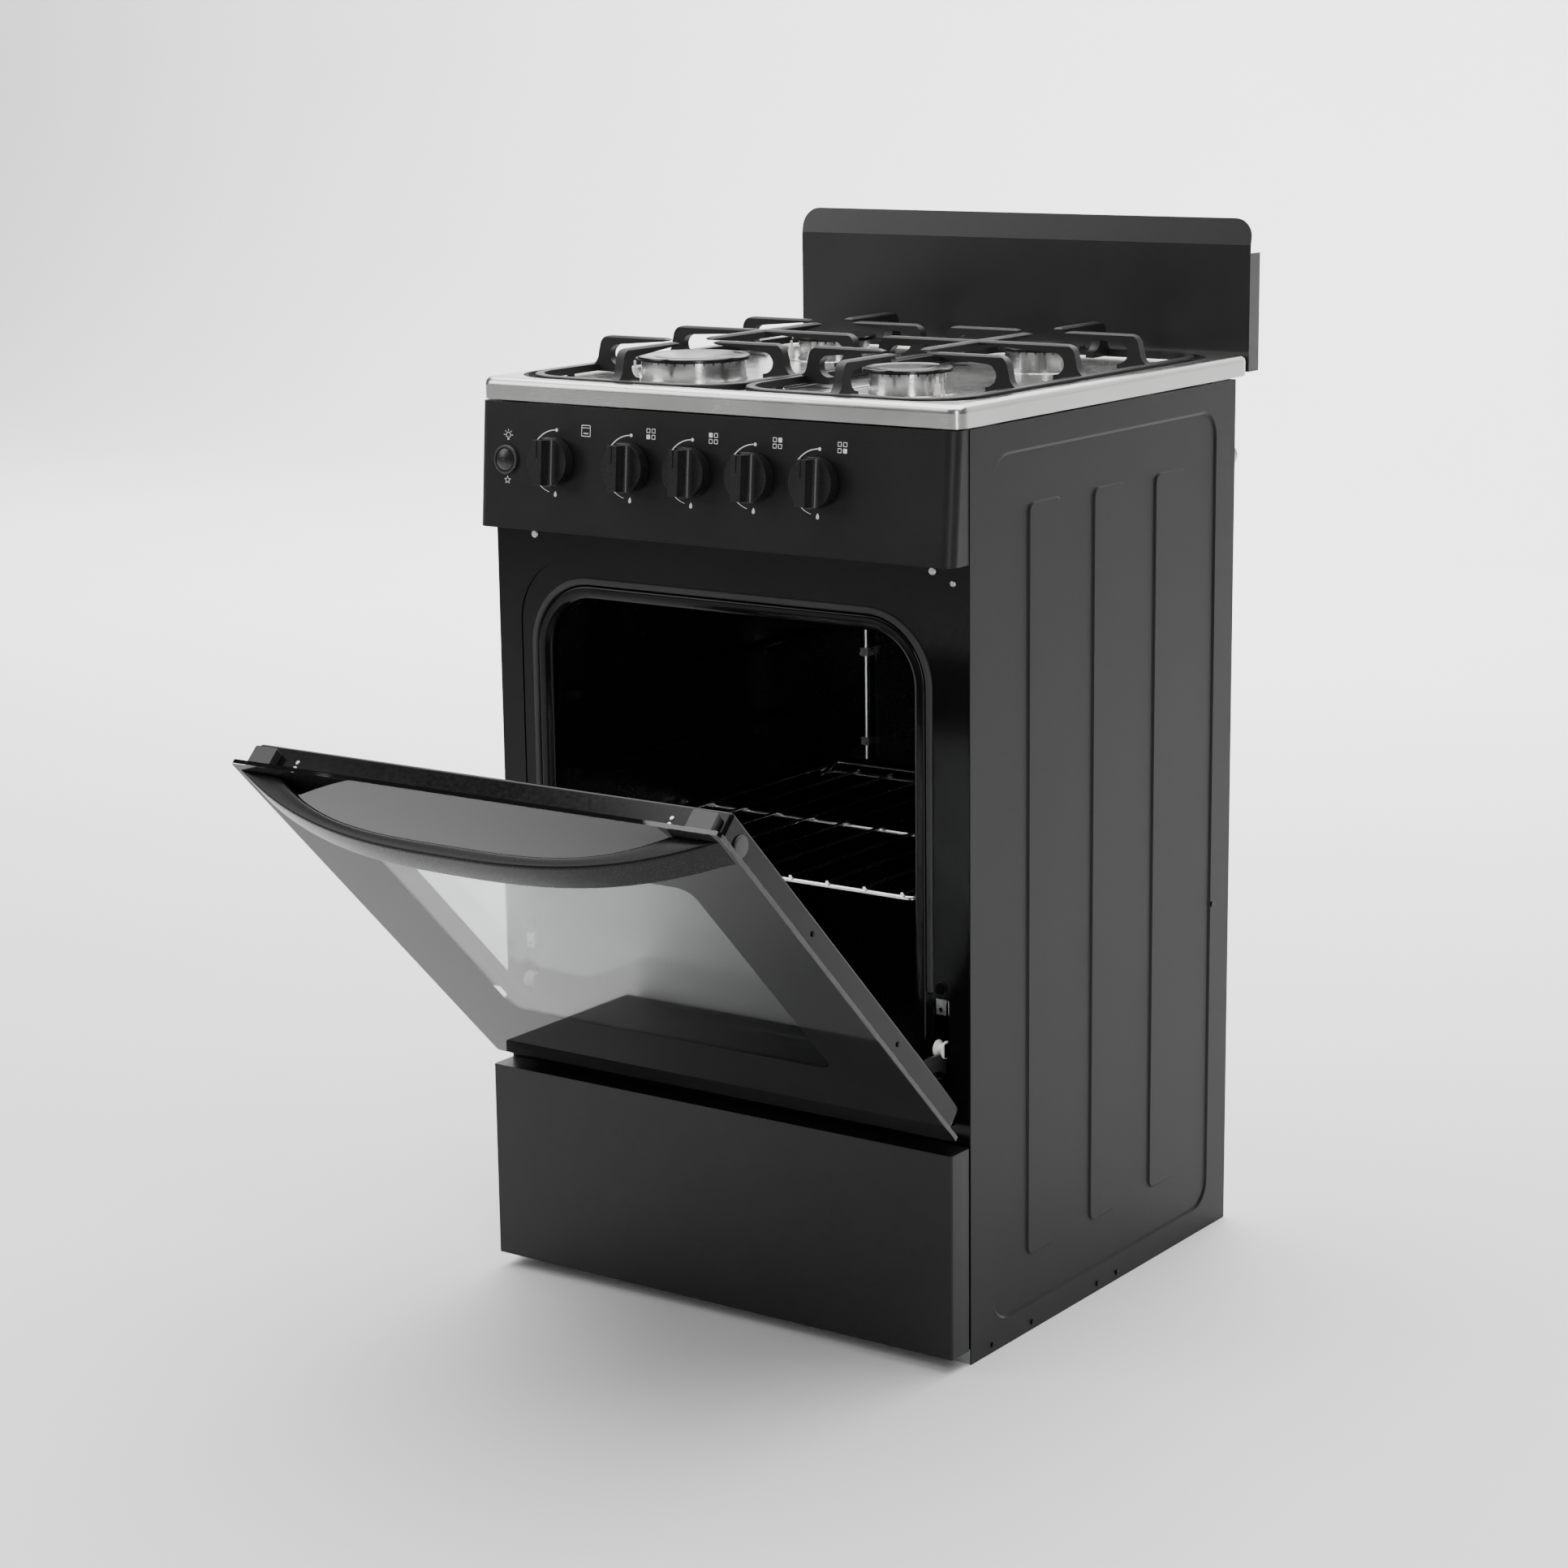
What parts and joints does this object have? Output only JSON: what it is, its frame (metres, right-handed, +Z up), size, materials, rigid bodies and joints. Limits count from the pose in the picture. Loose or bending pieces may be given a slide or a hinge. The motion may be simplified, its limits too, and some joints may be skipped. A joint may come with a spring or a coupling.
{
  "type": "freestanding gas range",
  "caption": "Freestanding gas range with a drop-down glass oven door, wire rack, storage drawer, knobs on a leaning panel, burners under cast pan supports and a splashback.",
  "frame": {"origin": "on the floor under the cabinet, at the middle of its width and of its side panels' depth", "axes": "+X to the right as seen from the front, -Y towards the user, +Z up"},
  "size_m": [0.5024, 0.881, 0.9473],
  "materials": {
    "body_black": "fine-texture black powder coat",
    "enamel_black": "glossy black vitreous enamel",
    "galvanised": "zinc-plated sheet",
    "stainless": "satin stainless steel",
    "cast_black": "matt black enamelled casting",
    "cap_enamel": "semi-gloss black enamel",
    "burner_aluminium": "machined, polished",
    "chrome_wire": "bright chrome plating",
    "brass": "plain",
    "door_glass": "black bordered tempered glass",
    "clear_glass": "clear tempered glass",
    "knob_black": "satin black thermoset plastic",
    "handle_black": "satin black coated aluminium extrusion",
    "plastic_black": "satin",
    "nylon_white": "white nylon",
    "seal_black": "black silicone and glass-fibre gasket",
    "ceramic": "unglazed alumina",
    "wool": "mineral wool",
    "screw_steel": "zinc-plated"
  },
  "bodies": {
    "cabinet": {"base_frame": "galvanised", "side_panel_left": "body_black", "side_panel_right": "body_black", "rear_panel": "galvanised", "front_frame": "enamel_black", "door_seal": "seal_black", "oven_liner": "enamel_black", "oven_back_wall": "enamel_black", "oven_floor_plate": "enamel_black", "oven_burner": "galvanised", "oven_insulation": "wool", "thermostat_bulb": "chrome_wire", "oven_lamp": "clear_glass", "control_panel": "body_black", "rocker_bezel": "plastic_black", "gas_valves": "brass", "gas_manifold": "galvanised", "gas_inlet": "galvanised", "gas_tubes": "burner_aluminium", "hob_top": "stainless", "burner_cups": "burner_aluminium", "burner_body_rapid": "burner_aluminium", "burner_bodies_semi": "burner_aluminium", "burner_cap_rapid": "cap_enamel", "burner_caps_semi": "cap_enamel", "spark_electrodes": "ceramic", "spark_generator": "plastic_black", "hinge_brackets": "galvanised", "door_spring_left": "galvanised", "door_spring_right": "galvanised", "drawer_runners": "galvanised", "backsplash": "body_black", "backsplash_brackets": "galvanised", "cabinet_screws": "screw_steel", "cord_gland": "plastic_black"},
    "door": {"door_outer_glass": "door_glass", "door_inner_pan": "enamel_black", "door_inner_glass": "clear_glass", "door_top_blocks": "plastic_black", "door_handle": "handle_black", "door_screws": "screw_steel", "hinge_arms": "galvanised"},
    "roller_left": {"hinge_roller_left": "nylon_white"},
    "roller_right": {"hinge_roller_right": "nylon_white"},
    "drawer": {"drawer_front": "body_black", "drawer_tray": "galvanised"},
    "rack": {"oven_rack": "chrome_wire"},
    "rocker_switch": {"rocker": "plastic_black"},
    "support_left": {"grate_left": "cast_black"},
    "support_right": {"grate_right": "cast_black"},
    "stem_oven": {"tap_stem_oven": "brass"},
    "cap_oven": {"knob_oven": "knob_black"},
    "stem_rear_left": {"tap_stem_rear_left": "brass"},
    "cap_rear_left": {"knob_rear_left": "knob_black"},
    "stem_front_left": {"tap_stem_front_left": "brass"},
    "cap_front_left": {"knob_front_left": "knob_black"},
    "stem_front_right": {"tap_stem_front_right": "brass"},
    "cap_front_right": {"knob_front_right": "knob_black"},
    "stem_rear_right": {"tap_stem_rear_right": "brass"},
    "cap_rear_right": {"knob_rear_right": "knob_black"}
  },
  "joints": [
    {"name": "door_hinge", "type": "hinge", "parent": "cabinet", "child": "door", "pos_m": [0, -0.2431, 0.2236], "axis": [1, 0, 0], "range_deg": [-45, 45], "deforming": ["door_spring_left", "door_spring_right"]},
    {"name": "roller_left_spin", "type": "hinge", "parent": "cabinet", "child": "roller_left", "pos_m": [-0.221, -0.22702, 0.27755], "axis": [1, 0, 0], "range_deg": [-465, 465]},
    {"name": "roller_right_spin", "type": "hinge", "parent": "cabinet", "child": "roller_right", "pos_m": [0.221, -0.22702, 0.27755], "axis": [1, 0, 0], "range_deg": [-465, 465]},
    {"name": "drawer_slide", "type": "slide", "parent": "cabinet", "child": "drawer", "axis": [0, -1, 0], "range_m": [0, 0.3]},
    {"name": "rack_slide", "type": "slide", "parent": "cabinet", "child": "rack", "axis": [0, -1, 0], "range_m": [0, 0.17]},
    {"name": "support_left_lift", "type": "slide", "parent": "cabinet", "child": "support_left", "axis": [0, 0, 1], "range_m": [0, 0.12]},
    {"name": "support_right_lift", "type": "slide", "parent": "cabinet", "child": "support_right", "axis": [0, 0, 1], "range_m": [0, 0.12]},
    {"name": "tap_oven_turn", "type": "hinge", "parent": "cabinet", "child": "stem_oven", "pos_m": [-0.162, -0.25068, 0.75532], "axis": [0, -0.9971, 0.0761], "range_deg": [0, 180]},
    {"name": "tap_oven_push", "type": "slide", "parent": "stem_oven", "child": "cap_oven", "axis": [0, 0.9971, -0.0761], "range_m": [0, 0.0024], "stiffness_N_per_m": 900},
    {"name": "tap_rear_left_turn", "type": "hinge", "parent": "cabinet", "child": "stem_rear_left", "pos_m": [-0.08, -0.25068, 0.75532], "axis": [0, -0.9971, 0.0761], "range_deg": [0, 180]},
    {"name": "tap_rear_left_push", "type": "slide", "parent": "stem_rear_left", "child": "cap_rear_left", "axis": [0, 0.9971, -0.0761], "range_m": [0, 0.0024], "stiffness_N_per_m": 900},
    {"name": "tap_front_left_turn", "type": "hinge", "parent": "cabinet", "child": "stem_front_left", "pos_m": [-0.0145, -0.25068, 0.75532], "axis": [0, -0.9971, 0.0761], "range_deg": [0, 180]},
    {"name": "tap_front_left_push", "type": "slide", "parent": "stem_front_left", "child": "cap_front_left", "axis": [0, 0.9971, -0.0761], "range_m": [0, 0.0024], "stiffness_N_per_m": 900},
    {"name": "tap_front_right_turn", "type": "hinge", "parent": "cabinet", "child": "stem_front_right", "pos_m": [0.051, -0.25068, 0.75532], "axis": [0, -0.9971, 0.0761], "range_deg": [0, 180]},
    {"name": "tap_front_right_push", "type": "slide", "parent": "stem_front_right", "child": "cap_front_right", "axis": [0, 0.9971, -0.0761], "range_m": [0, 0.0024], "stiffness_N_per_m": 900},
    {"name": "tap_rear_right_turn", "type": "hinge", "parent": "cabinet", "child": "stem_rear_right", "pos_m": [0.1165, -0.25068, 0.75532], "axis": [0, -0.9971, 0.0761], "range_deg": [0, 180]},
    {"name": "tap_rear_right_push", "type": "slide", "parent": "stem_rear_right", "child": "cap_rear_right", "axis": [0, 0.9971, -0.0761], "range_m": [0, 0.0024], "stiffness_N_per_m": 900},
    {"name": "switch_rock", "type": "hinge", "parent": "cabinet", "child": "rocker_switch", "pos_m": [-0.2174, -0.24879, 0.75387], "axis": [1, 0, 0], "range_deg": [-6, 6], "stiffness_Nm_per_rad": 0.4}
  ],
  "couplings": [
    {"joint": "roller_left_spin", "follows": "door_hinge", "ratio": -10.2},
    {"joint": "roller_right_spin", "follows": "door_hinge", "ratio": -10.2}
  ]
}
